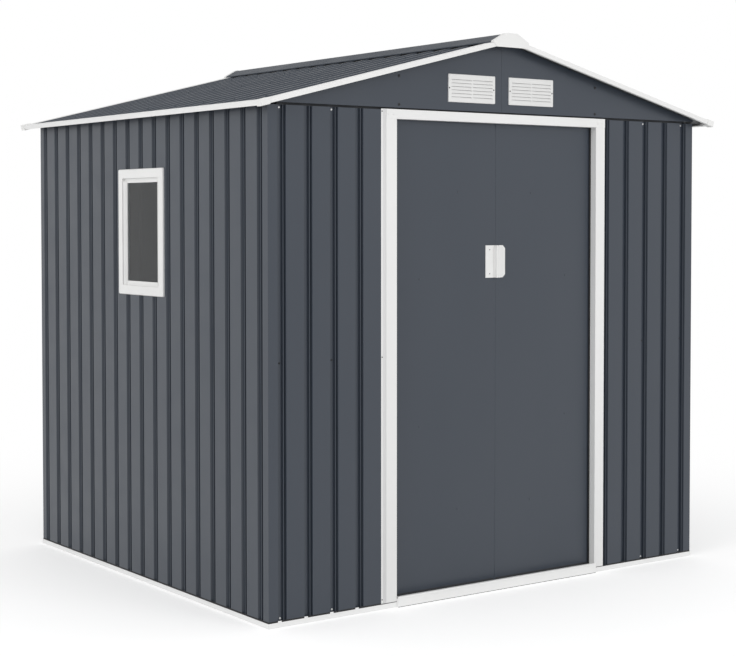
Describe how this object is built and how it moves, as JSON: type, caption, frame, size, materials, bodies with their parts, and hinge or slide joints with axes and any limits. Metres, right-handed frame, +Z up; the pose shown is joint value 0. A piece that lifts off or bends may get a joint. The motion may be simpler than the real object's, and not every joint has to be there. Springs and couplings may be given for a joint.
{
  "type": "metal storage shed",
  "caption": "Ribbed sheet-metal garden shed with a low gable roof, white trim, louvred gable vents, a fixed side window and a pair of sliding doors running in tracks.",
  "frame": {"origin": "middle of the footprint, on the ground under the base rails", "axes": "+Z up, the doors face -Y, +X to the right seen from the front"},
  "size_m": [2.1292, 1.898, 2.0328],
  "materials": {
    "grey_paint": "satin",
    "white_paint": "satin",
    "white_plastic": "matte",
    "galvanised_steel": "satin",
    "black_plastic": "matte",
    "clear_pane": "gloss"
  },
  "bodies": {
    "shed": {"front_wall_left": "grey_paint", "front_wall_right": "grey_paint", "left_wall": "grey_paint", "right_wall": "grey_paint", "back_wall": "grey_paint", "left_roof": "grey_paint", "right_roof": "grey_paint", "ridge_cap": "grey_paint", "front_gable_left": "grey_paint", "front_gable_right": "grey_paint", "back_gable_left": "grey_paint", "back_gable_right": "grey_paint", "front_base_rails": "white_paint", "side_base_rails": "white_paint", "back_base_rail": "white_paint", "door_sill": "white_paint", "left_door_post": "white_paint", "right_door_post": "white_paint", "door_header": "white_paint", "barge_trims": "white_paint", "eave_trims": "white_paint", "gable_vents": "white_plastic", "window_frame": "white_plastic", "window_inner_frame": "white_plastic", "eave_corner_caps": "white_plastic", "ridge_end_caps": "white_plastic", "lower_door_track": "galvanised_steel", "upper_door_track": "galvanised_steel", "corner_posts": "galvanised_steel", "front_top_rail": "galvanised_steel", "back_top_rail": "galvanised_steel", "side_top_rails": "galvanised_steel", "middle_rails": "galvanised_steel", "ridge_beam": "galvanised_steel", "roof_purlins": "galvanised_steel", "window_pane": "clear_pane"},
    "left_door": {"left_door": "grey_paint", "left_door_stiffeners": "galvanised_steel", "left_door_glides": "black_plastic", "left_door_pull": "white_plastic"},
    "right_door": {"right_door": "grey_paint", "right_door_stiffeners": "galvanised_steel", "right_door_glides": "black_plastic", "right_door_pull": "white_plastic"}
  },
  "joints": [
    {"name": "left_door_slide", "type": "slide", "parent": "shed", "child": "left_door", "axis": [-1, 0, 0], "range_m": [0, 0.42]},
    {"name": "right_door_slide", "type": "slide", "parent": "shed", "child": "right_door", "axis": [1, 0, 0], "range_m": [0, 0.42]}
  ]
}
